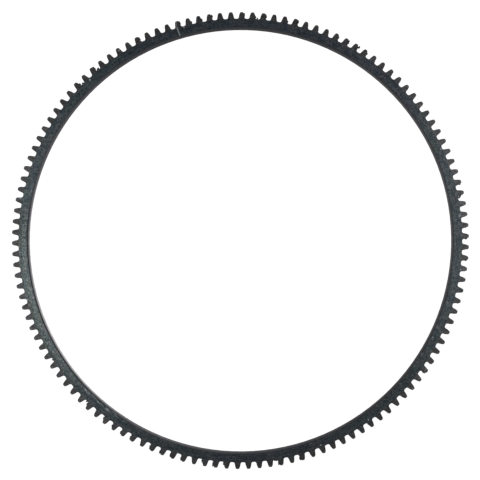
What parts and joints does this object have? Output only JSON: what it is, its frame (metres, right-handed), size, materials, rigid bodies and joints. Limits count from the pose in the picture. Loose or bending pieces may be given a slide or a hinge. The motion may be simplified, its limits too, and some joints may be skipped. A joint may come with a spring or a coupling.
{
  "type": "flywheel ring gear",
  "caption": "Flat toothed steel hoop that is shrunk on an engine flywheel, so the starter motor's pinion can turn the engine.",
  "frame": {"origin": "on the bore axis, in the plane of the lower face", "axes": "+Z along the bore axis, out of the plain turned face; +X through the middle of one tooth"},
  "size_m": [0.3344, 0.3344, 0.0095],
  "materials": {
    "dark_steel": "turned faces with a dark heat treatment film, teeth tinted brown grey, bore turned brighter"
  },
  "bodies": {
    "root": {"ring_gear": "dark_steel"}
  },
  "joints": []
}
